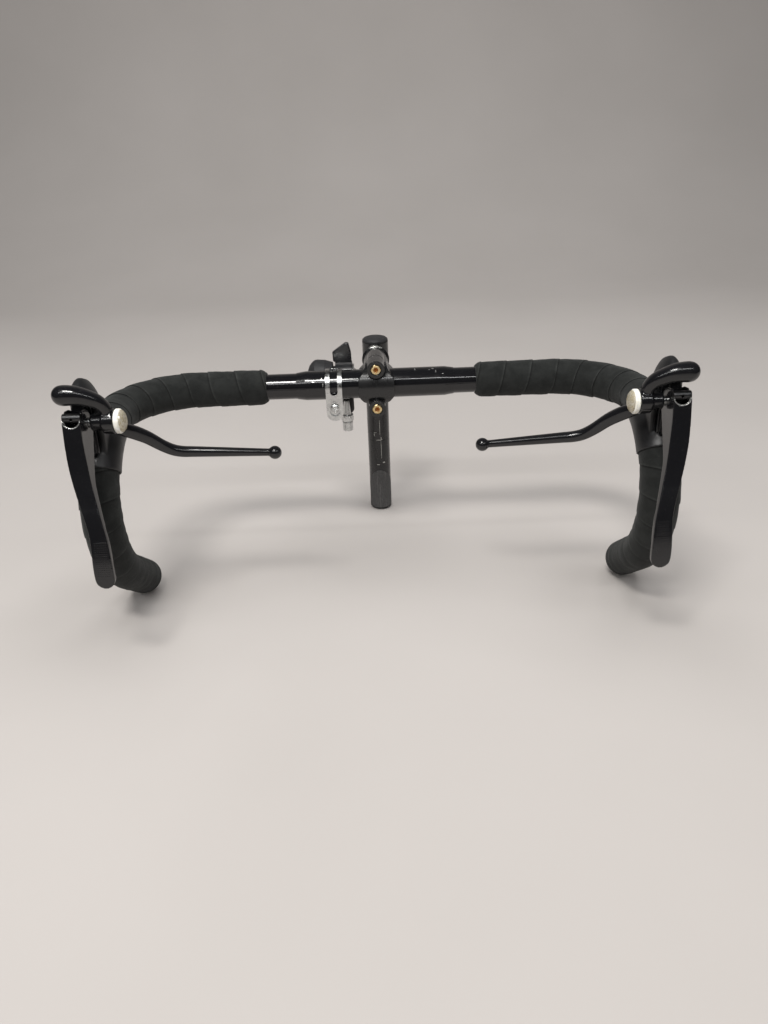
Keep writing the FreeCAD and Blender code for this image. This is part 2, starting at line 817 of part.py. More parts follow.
def build_stem():
    """Quill stem, its faceplate, wedge, bolts and cap."""
    length = cell("extension_length")
    radius = cell("extension_radius")
    foot = -STAND_HEIGHT
    head_top = cell("head_top")

    quill = cylinder(cell("quill_radius"), head_top - foot, (0, length, foot))
    head = cylinder(cell("head_radius"), head_top + 14, (0, length, -14))
    arm = cylinder(radius, length - 16, (0, 16, 0), "y")
    flare = cone(15.3, radius, 22, (0, 14, 0), "y")
    bead = DOC.addObject("Part::Torus", "Bead")
    put(bead, "Radius1", radius + 0.4)
    put(bead, "Radius2", 1.3)
    move(bead, (0, length - 13, 0), Rotation(Vector(0, 0, 1), ALONG["y"]))
    rear = clamp_half(1)
    bore = cylinder(cell("quill_bore"), 2 - foot, (0, length, foot))
    arm_bore = cylinder(cell("extension_bore"), length - 24, (0, 24, 0), "y")
    shaft = cylinder(cell("expander_radius") + 0.3, 40, (0, length, -10))
    recess = cylinder(7.2, 10, (0, length, 7))
    sleeve_room = cylinder(SLEEVE, 80, (-40, 0, 0), "x")
    threads = [
        cylinder(cell("bolt_radius"), 30, (0, -2, sign * cell("bolt_offset")), "y")
        for sign in (-1, 1)
    ]
    whole = fuse(quill, head, arm, flare, bead, rear)
    body = cut(whole, bore, arm_bore, shaft, recess, sleeve_room, slant_block(), *threads)
    at_bar(body, "stem_body")

    cap = turned([
        (-0.8, 0), (-0.8, 7), (0, 7), (0, 12.3), (1.6, 12.3), (3, 10.6), (4, 7), (4.4, 0),
    ], to_row((0, length, head_top)), ALONG["z"])
    node(cap, "stem_cap")

    face = clamp_half(-1)
    holes, wells = [], []
    for sign in (-1, 1):
        spot = (0, -40, sign * cell("bolt_offset"))
        holes.append(cylinder(cell("bolt_radius") + 0.2, 60, spot, "y"))
        wells.append(cylinder(cell("bolt_head_radius") + 0.4, 26, spot, "y"))
    at_bar(cut(face, *holes, *wells), "stem_faceplate")

    for sign, name in ((1, "upper"), (-1, "lower")):
        head = cell("bolt_head_radius")
        shank = cell("bolt_radius")
        bolt = turned([
            (0, 0), (0, head - 0.6), (0.6, head), (5, head), (5, shank), (28, shank), (28, 0),
        ], (0, -19, sign * cell("bolt_offset")), ALONG["y"])
        socket = hexagon(4.6, 3.2, (0, -19.2, sign * cell("bolt_offset")), "y")
        at_bar(cut(bolt, socket), f"faceplate_bolt_{name}")

    shank = cell("expander_radius")
    bolt = turned([
        (0, 0), (0, 6.4), (6.6, 6.4), (6.6, shank), (6.6 + 162, shank), (6.6 + 162, 0),
    ], (0, length, 13.6), ALONG["-z"])
    socket = hexagon(6.9, 4.5, (0, length, 9.2), "z")
    at_bar(cut(bolt, socket), "expander_bolt")

    thickness = cell("quill_radius")
    chamfer = 2.4
    slug = turned([
        (0, 0), (0, thickness - chamfer), (chamfer, thickness), (60, thickness), (60, 0),
    ], (0, length, foot), ALONG["z"])
    hole = cylinder(shank + cell("running_gap"), 80, (0, length, foot - 5))
    at_bar(common(cut(slug, hole), slant_block()), "expander_wedge")


# ---------------------------------------------------------------- shifter


def build_shifter():
    """Single clamp-on gear shifter: band, drum, lever and cable adjuster."""
    middle = cell("shifter_x")
    width = cell("band_width")
    outer = SLEEVE + cell("band_wall")
    low = middle - width / 2
    drum_y = cell("drum_y")

    wall = cell("band_wall")
    ring = cylinder(outer, width, (low, 0, 0), "x")
    front_tab = box((low, -outer, -21.5), (width, wall, 21.5))
    front_end = cylinder(width / 2, wall, (middle, -outer, -21.5), "y")
    tray = box((middle - 5.4, -outer + wall, -24.5), (10.8, 1, 13))
    rear_tab = box((low, -9.6, -19.5), (width, 1.6, 10.5))
    rear_end = cylinder(width / 2, 1.6, (middle, -9.6, -19.5), "y")
    hole = cylinder(SLEEVE, width + 2, (low - 1, 0, 0), "x")
    window = box((middle - 3.3, -20, -2), (6.6, 23, 30))
    window_end = cylinder(3.3, 20, (middle, -20, -2), "y")
    slit = box((low - 1, -outer + wall, -14), (width + 2, 3.1, 14))
    slot_top = cylinder(4.3, wall + 1, (middle, -outer - 1, -15), "y")
    slot_low = cylinder(4.3, wall + 1, (middle, -outer - 1, -20), "y")
    slot_mid = box((middle - 4.3, -outer - 1, -20), (8.6, wall + 1, 5))
    screw_hole = cylinder(2, 20, (middle, -13, -17), "y")
    loop = cut(fuse(ring, front_tab, front_end), hole, slit)
    band = cut(
        fuse(loop, tray, rear_tab, rear_end),
        hole, window, window_end, slot_top, slot_low, slot_mid, screw_hole,
    )
    at_bar(band, "shifter_clamp_band")

    screw = turned([
        (0, 0), (0, 2.4), (0.8, 3.6), (2.5, 3.6), (2.5, 2), (11.2, 2), (11.2, 0),
    ], (middle, wall - outer - 2.5, -17), ALONG["y"])
    cross = [
        box((middle - 2.2, -17, -17.4), (4.4, 2.8, 0.8)),
        box((middle - 0.4, -17, -19.2), (0.8, 2.8, 4.4)),
    ]
    at_bar(cut(screw, *cross), "shifter_clamp_screw")
    nut = cut(
        box((middle - 3, -8, -20), (6, 3.4, 6)),
        cylinder(2, 10, (middle, -10, -17), "y"),
    )
    at_bar(nut, "shifter_clamp_nut")

    pin = cell("shifter_pin")
    drum = cell("drum_radius")
    can_end = middle - 1.9
    axle_hole = cylinder(pin, 80, (-80, drum_y, 0), "x")
    can = turned([
        (0, 0), (0, drum - 0.4), (6.8, drum - 2.5), (6.8, 8), (9, 8), (9, 0),
    ], (-46, drum_y, 0), ALONG["x"])
    saddle = box((low, 8, -7), (can_end - low, 14, 14))
    pod = feature(limb([(-41, 18, -7), (-32, 15, -13), (-26.2, 13.6, -19), (-25.8, 12.4, -26.8)],
                       [4.4, 4.8, 5, 4.8]))
    band_room = cylinder(outer, 60, (-70, 0, 0), "x")
    lever_room = cylinder(12.6, 30, (-36.9, drum_y, 0), "x")
    stop_room = cylinder(5.3, 20, (cell("adjuster_x"), cell("adjuster_y"), -36), "z")
    housing = cut(fuse(can, saddle, pod), band_room, lever_room, stop_room, axle_hole)
    at_bar(housing, "shifter_housing")

    turned_at_bar([
        (0, pin), (0, drum - 0.4), (7, drum + 0.2), (9.5, drum - 0.2), (12, drum - 2),
        (14.4, drum - 5), (16, drum - 9), (16, pin),
    ], (-46, drum_y, 0), ALONG["-x"], "shifter_cover")

    hub = cylinder(12, 15.3, (-36.8, drum_y, 0), "x")
    paddle = plate([
        (-36.8, 2), (-36.8, 12.6), (-38.6, 13.4), (-38.9, 21.5), (-27, 29.7), (-24, 29.7),
        (-22, 21), (-21.5, 2),
    ], "XZ_Plane", 4.6, (0, drum_y, 0))
    lever = cut(
        fuse(hub, rounded(paddle, 1.4, upper_edge)),
        cylinder(pin + cell("running_gap"), 30, (-50, drum_y, 0), "x"),
    )
    at_bar(lever, "shifter_lever")

    turned_at_bar([
        (0, 0), (0, pin), (40.7, pin), (40.7, 9.6), (41.9, 9.6), (41.9, 5.4), (43.6, 4.8),
        (43.6, 0),
    ], (-62, drum_y, 0), ALONG["x"], "shifter_pivot_screw")

    spot = (cell("adjuster_x"), cell("adjuster_y"), -17)
    liner = 1.2
    turned_at_bar([
        (0, liner), (0, 2.2), (13, 3.7), (13, 5.3), (14.6, 5.3), (14.6, liner),
    ], spot, ALONG["-z"], "shifter_cable_stop")
    nut = cut(
        hexagon(11.2, 4, (spot[0], spot[1], -35.6), "z"),
        cylinder(2.5 + cell("running_gap"), 10, (spot[0], spot[1], -40), "z"),
    )
    at_bar(nut, "adjuster_lock_nut")
    turned_at_bar([
        (0, liner), (0, 2.5), (4.6, 2.5), (4.6, 4.3), (5, 4.7), (12.6, 4.7), (13.2, 4.2),
        (13.2, 2.6), (7, 2.6), (7, liner),
    ], (spot[0], spot[1], -31.7), ALONG["-z"], "barrel_adjuster")


def upper_edge(edge):
    """True for the paddle's edges at its tip."""
    return min(vertex.Point.z for vertex in edge.Vertexes) > 13


# ---------------------------------------------------------------- writing


def write_nodes():
    """Checks every object of the document and writes each piece."""
    DOC.recompute()
    for thing in DOC.Objects:
        faults = [state for state in thing.State if state in ("Invalid", "Error")]
        if faults:
            raise ValueError(f"{thing.Name} ({thing.Label}): {faults}")
    for piece in NODES:
        shape = piece.Shape
        if shape.isNull() or not shape.isValid() or not shape.Solids:
            raise ValueError(f"{piece.Label} has no valid solid")
    os.makedirs("parts", exist_ok=True)
    for piece in NODES:
        piece.Shape.exportStep(f"parts/{piece.Label}.step")
        print(f"{piece.Label}: {len(piece.Shape.Solids)} solid, {piece.Shape.Volume / 1000:.2f} cm3")


build_bar()
build_levers()
build_left_tape()
build_stem()
build_shifter()
write_nodes()
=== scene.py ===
import json
import math

import bmesh
import bpy
import numpy as np
from mathutils import Matrix, Vector

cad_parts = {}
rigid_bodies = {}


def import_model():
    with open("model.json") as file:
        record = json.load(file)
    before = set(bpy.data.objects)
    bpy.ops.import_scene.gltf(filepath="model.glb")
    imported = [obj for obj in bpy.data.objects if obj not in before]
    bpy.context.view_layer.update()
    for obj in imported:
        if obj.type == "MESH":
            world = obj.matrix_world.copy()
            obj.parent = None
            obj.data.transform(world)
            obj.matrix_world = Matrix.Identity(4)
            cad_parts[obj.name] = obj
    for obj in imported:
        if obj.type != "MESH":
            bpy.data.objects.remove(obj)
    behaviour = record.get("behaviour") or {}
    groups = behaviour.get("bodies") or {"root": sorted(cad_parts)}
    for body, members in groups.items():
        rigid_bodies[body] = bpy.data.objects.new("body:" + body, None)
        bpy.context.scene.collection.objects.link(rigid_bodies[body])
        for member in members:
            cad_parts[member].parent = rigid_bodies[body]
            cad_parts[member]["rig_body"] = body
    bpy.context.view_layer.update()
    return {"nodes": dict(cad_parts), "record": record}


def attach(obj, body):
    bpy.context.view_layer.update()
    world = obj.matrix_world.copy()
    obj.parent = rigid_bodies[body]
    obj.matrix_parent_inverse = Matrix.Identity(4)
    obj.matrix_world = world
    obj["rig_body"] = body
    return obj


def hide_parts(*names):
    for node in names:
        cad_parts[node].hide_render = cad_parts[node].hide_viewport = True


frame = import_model()
NODES = frame["nodes"]
SIDES = {"left": -1, "right": 1}

# Real sizes, in metres. The bar frame's origin is the middle of the straight top.
BAR_ORIGIN = np.array([0.0, -0.085, 0.100231])
HALF_WIDTH, CORNER, RAMP = 0.215, 0.062, 0.004
HOOK, DROP, DROP_TURN, END_RUN = 0.064, 0.074, math.radians(52), 0.050
BAR_RADIUS, TAPE_RADIUS = 0.0111, 0.0154
TAPE_START = {"left": 0.096, "right": 0.087}
WRAP_AROUND = 84            # points round one turn of tape
TAPE_LAP = 0.0006           # step from a wrap's buried edge to its open edge
TAPE_END_ROUNDING = 0.0065  # length over which the tape's ends close on the bar
TAPE_CLOSED = 0.0012        # tape thickness at those closed ends
MOUTH_HEIGHT, MOUTH_RADIUS = 30.4, 0.0063  # scooped rim of the blades, mm up and m
FLOOR = -0.065


# ------------------------------------------------------------ node building


class Shader:
    """A material under construction: add() makes a node and links its inputs."""

    def __init__(self, name):
        self.material = bpy.data.materials.new(name)
        self.material.use_nodes = True
        self.tree = self.material.node_tree
        self.tree.nodes.clear()
        self.output = self.tree.nodes.new("ShaderNodeOutputMaterial")
        self.place = self.add("ShaderNodeTexCoord").outputs["Object"]

    def add(self, kind, settings=None, **inputs):
        node = self.tree.nodes.new(kind)
        for key, value in (settings or {}).items():
            setattr(node, key, value)
        for key, value in inputs.items():
            self.set(node.inputs[key.replace("_", " ")], value)
        return node

    def set(self, socket, value):
        if isinstance(value, bpy.types.NodeSocket):
            self.tree.links.new(value, socket)
        elif socket.type == "RGBA" and not hasattr(value, "__len__"):
            socket.default_value = (value, value, value, 1)
        elif socket.type == "RGBA" and len(value) == 3:
            socket.default_value = (*value, 1)
        else:
            socket.default_value = value

    def math(self, operation, a, b=0.0, c=None, clamp=False):
        node = self.tree.nodes.new("ShaderNodeMath")
        node.operation = operation
        node.use_clamp = clamp
        self.set(node.inputs[0], a)
        self.set(node.inputs[1], b)
        if c is not None:
            self.set(node.inputs[2], c)
        return node.outputs[0]

    def vector(self, operation, a, b=(0, 0, 0)):
        node = self.tree.nodes.new("ShaderNodeVectorMath")
        node.operation = operation
        self.set(node.inputs[0], a)
        self.set(node.inputs[1], b)
        return node.outputs["Value"] if operation in ("LENGTH", "DOT_PRODUCT") else node.outputs[0]

    def stretched(self, scale, turn=(0, 0, 0), shift=(0, 0, 0)):
        node = self.add("ShaderNodeMapping", Vector=self.place, Scale=scale, Rotation=turn,
                        Location=shift)
        return node.outputs[0]

    def noise(self, scale, detail=3.0, rough=0.5, distort=0.0, where=None, kind="FBM"):
        node = self.add("ShaderNodeTexNoise", {"noise_type": kind},
                        Vector=self.place if where is None else where,
                        Scale=scale, Detail=detail, Roughness=rough, Distortion=distort)
        return node.outputs["Factor" if "Factor" in node.outputs else "Fac"]

    def voronoi(self, scale, feature="F1", where=None, random=1.0):
        node = self.add("ShaderNodeTexVoronoi", {"feature": feature},
                        Vector=self.place if where is None else where,
                        Scale=scale, Randomness=random)
        return node.outputs["Distance"]

    def band(self, value, low, high, to_low=0.0, to_high=1.0):
        """value mapped from low..high to to_low..to_high, smoothly and clamped."""
        node = self.add("ShaderNodeMapRange", {"interpolation_type": "SMOOTHSTEP"})
        for index, number in enumerate((value, low, high, to_low, to_high)):
            self.set(node.inputs[index], number)
        return node.outputs[0]

    def mix(self, factor, a, b):
        """Colour mix."""
        node = self.tree.nodes.new("ShaderNodeMix")
        node.data_type = "RGBA"
        self.set(node.inputs["Factor"], factor)
        colours = [s for s in node.inputs if s.type == "RGBA"]
        self.set(colours[0], a)
        self.set(colours[1], b)
        return next(s for s in node.outputs if s.type == "RGBA")

    def blend(self, factor, a, b):
        """Number mix."""
        node = self.tree.nodes.new("ShaderNodeMix")
        node.data_type = "FLOAT"
        values = [s for s in node.inputs if s.type == "VALUE"]
        for socket, number in zip(values, (factor, a, b)):
            self.set(socket, number)
        return next(s for s in node.outputs if s.type == "VALUE")

    def bump(self, height, strength, distance, under=None):
        node = self.add("ShaderNodeBump", Height=height, Strength=strength, Distance=distance)
        if under is not None:
            self.set(node.inputs["Normal"], under)
        return node.outputs[0]

    def eased(self, radius):
        """Normal that rounds sharp edges."""
        return self.add("ShaderNodeBevel", {"samples": 6}, Radius=radius).outputs[0]

    def axis(self, name):
        return self.add("ShaderNodeSeparateXYZ", Vector=self.place).outputs[name]

    def spots(self, places, ragged=0.35, scale=900.0):
        """Soft mask of small ragged marks: each is (centre, half sizes) in metres."""
        rough = self.math("MULTIPLY", self.math("SUBTRACT", self.noise(scale, 4), 0.5), ragged * 4)
        total = None
        for centre, size in places:
            away = self.vector("SUBTRACT", self.place, centre)
            away = self.vector("DIVIDE", away, size)
            far = self.math("ADD", self.vector("LENGTH", away), rough)
            mark = self.band(far, 0.8, 1.15, 1.0, 0.0)
            total = mark if total is None else self.math("MAXIMUM", total, mark)
        return total

    def rubs(self):
        """Very fine short rub marks, a few patches only."""
        total = None
        for scale, turn in (((3200, 90, 3200), 0.5), ((110, 2800, 2600), 0.3),
                            ((2900, 2600, 75), -0.2)):
            fine = self.noise(1, 2, 0.5, 0, self.stretched(scale, (turn, turn * 0.6, turn)))
            mark = self.band(fine, 0.74, 0.80)
            total = mark if total is None else self.math("MAXIMUM", total, mark)
        return self.math("MULTIPLY", total, self.band(self.noise(55, 2), 0.52, 0.66))

    def finish(self, **inputs):
        surface = self.add("ShaderNodeBsdfPrincipled", **inputs)
        self.tree.links.new(surface.outputs[0], self.output.inputs[0])
        return self.material


# ------------------------------------------------------------ materials


def black_paint(name, colour, rough, nicks=(), worn=0.12, ease=0.0005, peel=0.16, grain=None,
                rim=None):
    """Gloss black paint: orange peel, dust, hairline scratches and bare nicks."""
    s = Shader(name)
    smudge = s.noise(60, 5, 0.6)
    dust = s.band(s.noise(520, 4, 0.7), 0.58, 0.78)
    scratches = s.rubs()
    base = s.mix(s.math("MULTIPLY", dust, 0.22), colour, (0.075, 0.073, 0.070))
    base = s.mix(s.math("MULTIPLY", scratches, worn), base, (0.34, 0.34, 0.34))
    roughness = s.band(smudge, 0.30, 0.72, rough * 0.75, rough * 1.5)
    roughness = s.math("ADD", roughness, s.math("MULTIPLY", scratches, 0.22))
    roughness = s.math("ADD", roughness, s.math("MULTIPLY", dust, 0.10))
    metal = 0.0
    if nicks:
        bare = s.spots(nicks)
        base = s.mix(bare, base, (0.50, 0.50, 0.48))
        roughness = s.blend(bare, roughness, 0.34)
        metal = s.math("MULTIPLY", bare, 0.9)
    normal = s.eased(ease)
    normal = s.bump(s.noise(260, 2, 0.4), peel, 0.0002, normal)
    if rim is not None:
        worn_edge = rim(s)
        base = s.mix(worn_edge, base, (0.46, 0.46, 0.44))
        metal = s.math("MAXIMUM", metal, s.math("MULTIPLY", worn_edge, 0.85))
    normal = s.bump(scratches, -0.02, 0.00005, normal)
    if grain is not None:
        normal = s.bump(grain(s), 0.9, 0.0004, normal)
    return s.finish(Base_Color=base, Roughness=roughness, Metallic=metal, Normal=normal,
                    Specular_IOR_Level=0.42, Coat_Weight=0.30, Coat_Roughness=0.05)


def bar_tape():
    """Matte suede-like tape: napped grain, dusty high spots, painted shade in the creases at the
    overlaps.
    """
    s = Shader("bar_tape_suede")
    across = s.add("ShaderNodeAttribute", {"attribute_name": "across"}).outputs["Fac"]
    nap = s.noise(2600, 4, 0.65)
    patch = s.noise(95, 5, 0.6, 0.6)
    weave = s.voronoi(1500, "F1")
    colour = s.mix(s.band(patch, 0.30, 0.72), (0.0065, 0.0072, 0.0068), (0.0145, 0.0155, 0.0148))
    colour = s.mix(s.math("MULTIPLY", s.band(nap, 0.50, 0.74), 0.55), colour,
                   (0.030, 0.032, 0.0305))
    rim = s.band(across, 0.90, 1.0)
    colour = s.mix(s.math("MULTIPLY", rim, s.band(patch, 0.35, 0.65, 0.15, 0.6)), colour,
                   (0.036, 0.038, 0.036))
    # painted shade: near black along each wrap's buried edge, in the crease under the step of the
    # next wrap
    overlap_painted_shade = s.band(across, 0.0, 0.09, 1.0, 0.0)
    colour = s.mix(s.math("MULTIPLY", overlap_painted_shade, 0.85), colour, (0.003, 0.003, 0.003))
    lint = s.band(s.noise(700, 2, 0.5), 0.74, 0.80)
    colour = s.mix(s.math("MULTIPLY", lint, 0.35), colour, (0.16, 0.15, 0.14))
    height = s.math("ADD", s.math("MULTIPLY", nap, 0.6), s.math("MULTIPLY", weave, 0.5))
    normal = s.bump(patch, 0.35, 0.0012)
    normal = s.bump(height, 0.55, 0.00035, normal)
    return s.finish(Base_Color=colour, Roughness=s.band(nap, 0.2, 0.8, 0.82, 0.98),
                    Normal=normal, Sheen_Weight=0.14, Sheen_Roughness=0.5,
                    Sheen_Tint=(0.55, 0.56, 0.55), Specular_IOR_Level=0.28)


def moulded(name, colour, rough, faded=0.4, grain=0.25, ease=0.0006, sheen=0.0, coat=0.0):
    """Moulded plastic or rubber: fine pebble, faded patches, handling marks."""
    s = Shader(name)
    pebble = s.voronoi(2300, "F1")
    patch = s.noise(130, 5, 0.6, 0.3)
    marks = s.rubs()
    light = tuple(min(1.0, channel * (1 + 2.2 * faded) + 0.006) for channel in colour)
    base = s.mix(s.math("MULTIPLY", s.band(patch, 0.38, 0.72), faded), colour, light)
    base = s.mix(s.math("MULTIPLY", marks, 0.18), base, tuple(c + 0.10 for c in light))
    normal = s.eased(ease)
    normal = s.bump(pebble, grain, 0.00012, normal)
    normal = s.bump(marks, -0.12, 0.0001, normal)
    roughness = s.band(patch, 0.30, 0.75, rough * 0.86, min(1.0, rough * 1.16))
    return s.finish(Base_Color=base, Roughness=roughness, Normal=normal, Sheen_Weight=sheen,
                    Coat_Weight=coat, Coat_Roughness=0.12)


def zinc():
    """Bright zinc-plated steel, dulled by handling, with pale bloom; the cable anchor pins are
    painted near black as shade.
    """
    s = Shader("zinc_plate")
    cloud = s.noise(240, 5, 0.62, 0.5)
    fine = s.noise(1, 3, 0.6, 0, s.stretched((220, 2600, 2600)))
    bloom = s.band(s.noise(620, 5, 0.7), 0.60, 0.74)
    base = s.mix(s.band(cloud, 0.30, 0.70), (0.50, 0.51, 0.51), (0.76, 0.77, 0.76))
    base = s.mix(s.math("MULTIPLY", bloom, 0.55), base, (0.60, 0.58, 0.53))
    rough = s.math("ADD", s.band(cloud, 0.30, 0.72, 0.24, 0.42), s.math("MULTIPLY", bloom, 0.3))
    pits = s.band(s.noise(1900, 3, 0.6), 0.63, 0.72)
    normal = s.eased(0.0004)
    normal = s.bump(fine, 0.10, 0.0001, normal)
    normal = s.bump(pits, -0.25, 0.0001, normal)
    # painted shade: the cable anchor pins inside the blades' mouths, under the tongues, darkened
    # nearly to black
    anchor_painted_shade = s.spots([(from_bar(x, -141.7, 29.5), (0.0120, 0.0062, 0.0062))
                      for x in (-215, 215)], 0.1)
    base = s.mix(s.math("MULTIPLY", anchor_painted_shade, 0.93), base, (0.020, 0.020, 0.022))
    rough = s.blend(anchor_painted_shade, rough, 0.38)
    metal = s.band(bloom, 0, 1, 1.0, 0.55)
    return s.finish(Base_Color=base, Roughness=rough, Metallic=metal, Normal=normal)


def gold_bolt():
    """Gold-plated socket head, browned and rusty inside its socket."""
    s = Shader("gold_plate")
    cloud = s.noise(500, 5, 0.65, 0.4)
    heads = []
    for height in (0.0177, -0.0177):
        centre = tuple(BAR_ORIGIN + np.array([0.0, -0.0155, height]))
        away = s.vector("SUBTRACT", s.place, centre)
        away = s.vector("MULTIPLY", away, (1, 0.25, 1))
        heads.append(s.vector("LENGTH", away))
    near = s.math("MINIMUM", heads[0], heads[1])
    near = s.math("ADD", near, s.math("MULTIPLY", s.math("SUBTRACT", cloud, 0.5), 0.0012))
    socket = s.band(near, 0.0019, 0.0028, 1.0, 0.0)
    base = s.mix(s.band(cloud, 0.35, 0.65), (0.62, 0.44, 0.20), (0.86, 0.72, 0.44))
    base = s.mix(s.math("MULTIPLY", socket, 0.92), base,
                 s.mix(s.band(s.noise(1800, 4), 0.4, 0.6), (0.36, 0.13, 0.025), (0.60, 0.28, 0.06)))
    rough = s.blend(socket, s.band(cloud, 0.3, 0.7, 0.18, 0.36), 0.62)
    normal = s.eased(0.0004)
    normal = s.bump(cloud, 0.15, 0.0002, normal)
    return s.finish(Base_Color=base, Roughness=rough, Normal=normal,
                    Metallic=s.blend(socket, 0.95, 0.35))


def nylon():
    """Off-white nylon washer, yellowed and a little dirty at its edge."""
    s = Shader("aged_nylon")
    cloud = s.noise(320, 5, 0.6, 0.4)
    grime = s.band(s.noise(900, 5, 0.7), 0.56, 0.72)
    base = s.mix(s.band(cloud, 0.34, 0.70), (0.76, 0.74, 0.66), (0.86, 0.85, 0.80))
    base = s.mix(s.math("MULTIPLY", grime, 0.45), base, (0.42, 0.35, 0.23))
    normal = s.bump(s.noise(1500, 3), 0.15, 0.0001, s.eased(0.0005))
    return s.finish(Base_Color=base, Roughness=0.42, Normal=normal, Subsurface_Weight=0.15,
                    Subsurface_Radius=(0.002, 0.0018, 0.0012), Subsurface_Scale=1.0)


def stained_cap():
    """Domed screw cap: dull plating with brown and khaki stains."""
    s = Shader("stained_cap")
    cloud = s.noise(430, 6, 0.68, 0.9)
    spots = s.noise(1300, 5, 0.7, 0.5)
    base = s.mix(s.band(cloud, 0.36, 0.60), (0.66, 0.63, 0.54), (0.38, 0.33, 0.22))
    base = s.mix(s.band(spots, 0.54, 0.66), base, (0.19, 0.11, 0.05))
    base = s.mix(s.math("MULTIPLY", s.band(spots, 0.36, 0.28), 0.8), base, (0.80, 0.79, 0.74))
    normal = s.bump(spots, 0.35, 0.0003, s.eased(0.0005))
    rough = s.band(cloud, 0.3, 0.7, 0.32, 0.62)
    return s.finish(Base_Color=base, Roughness=rough, Normal=normal,
                    Metallic=s.band(cloud, 0.36, 0.60, 0.65, 0.15))


def cast_grey():
    """Matte dark grey wedge: a cast skin with rub marks along it, and painted shade near black at
    its foot on the floor.
    """
    s = Shader("cast_grey")
    skin = s.noise(700, 6, 0.7)
    rub = s.band(s.noise(1, 3, 0.6, 0, s.stretched((700, 700, 40))), 0.55, 0.70)
    base = s.mix(s.band(skin, 0.3, 0.7), (0.060, 0.060, 0.062), (0.115, 0.114, 0.112))
    base = s.mix(s.math("MULTIPLY", rub, 0.35), base, (0.24, 0.235, 0.23))
    # painted shade: the last few millimetres above the floor darkened nearly to black, where the
    # wedge stands on it
    low = s.band(s.axis("Z"), FLOOR + 0.0022, FLOOR + 0.0034, 1.0, 0.0)
    base = s.mix(low, base, (0.010, 0.010, 0.010))
    normal = s.bump(skin, 0.4, 0.0003, s.eased(0.0005))
    return s.finish(Base_Color=base, Roughness=s.band(skin, 0.3, 0.7, 0.48, 0.72),
                    Metallic=0.45, Normal=normal)


def from_bar(x, y, z):
    """A bar-frame spot in millimetres, as a row-frame spot in metres."""
    return tuple(BAR_ORIGIN + np.array([x, y, z]) / 1000)


def grip_dots(s):
    """Small raised dots in rows on the lower face of each brake blade."""
    x, z = s.axis("X"), s.axis("Z")
    wide = s.math("ABSOLUTE", x)
    centre = 0.2017
    side = s.math("SUBTRACT", wide, centre)
    pitch = 0.00155
    column = s.math("SUBTRACT", s.math("FRACT", s.math("DIVIDE", side, pitch)), 0.5)
    row = s.math("SUBTRACT", s.math("FRACT", s.math("DIVIDE", z, pitch)), 0.5)
    far = s.math("SQRT", s.math("ADD", s.math("MULTIPLY", column, column),
                                s.math("MULTIPLY", row, row)))
    dot = s.band(far, 0.16, 0.36, 1.0, 0.0)
    area = s.math("MULTIPLY", s.band(s.math("ABSOLUTE", side), 0.0047, 0.0052, 1.0, 0.0),
                  s.math("MULTIPLY", s.band(z, from_bar(0, 0, -53)[2], from_bar(0, 0, -52)[2],
                                            1.0, 0.0),
                         s.band(z, from_bar(0, 0, -79)[2], from_bar(0, 0, -78)[2])))
    return s.math("MULTIPLY", dot, area)


def mouth_rim(s):
    """Bare metal line along the scooped rim at the top of each blade."""
    x, y, z = (s.axis(name) for name in "XYZ")
    side = s.math("SUBTRACT", s.math("ABSOLUTE", x), HALF_WIDTH)
    lift = s.math("SUBTRACT", z, from_bar(0, 0, MOUTH_HEIGHT)[2])
    far = s.math("SQRT", s.math("ADD", s.math("MULTIPLY", side, side),
                                s.math("MULTIPLY", lift, lift)))
    from_rim = s.math("ABSOLUTE", s.math("SUBTRACT", far, MOUTH_RADIUS))
    line = s.band(from_rim, 0.0003, 0.0009, 1.0, 0.0)
    front = s.band(y, from_bar(0, -144.6, 0)[1], from_bar(0, -143.8, 0)[1], 1.0, 0.0)
    chips = s.band(s.noise(420, 3, 0.6), 0.36, 0.56)
    return s.math("MULTIPLY", s.math("MULTIPLY", line, front), chips)


def quill_marks(s):
    """Shallow insertion lines across the quill's front."""
    z, y = s.axis("Z"), s.axis("Y")
    lines = None
    for height in (-76, -85):
        level = from_bar(0, 0, height)[2]
        line = s.band(s.math("ABSOLUTE", s.math("SUBTRACT", z, level)), 0.0003, 0.0006, 1.0, 0.0)
        lines = line if lines is None else s.math("MAXIMUM", lines, line)
    front = s.band(y, -0.0068, -0.0062, 1.0, 0.0)
    return s.math("MULTIPLY", s.math("MULTIPLY", lines, front), -1.0)


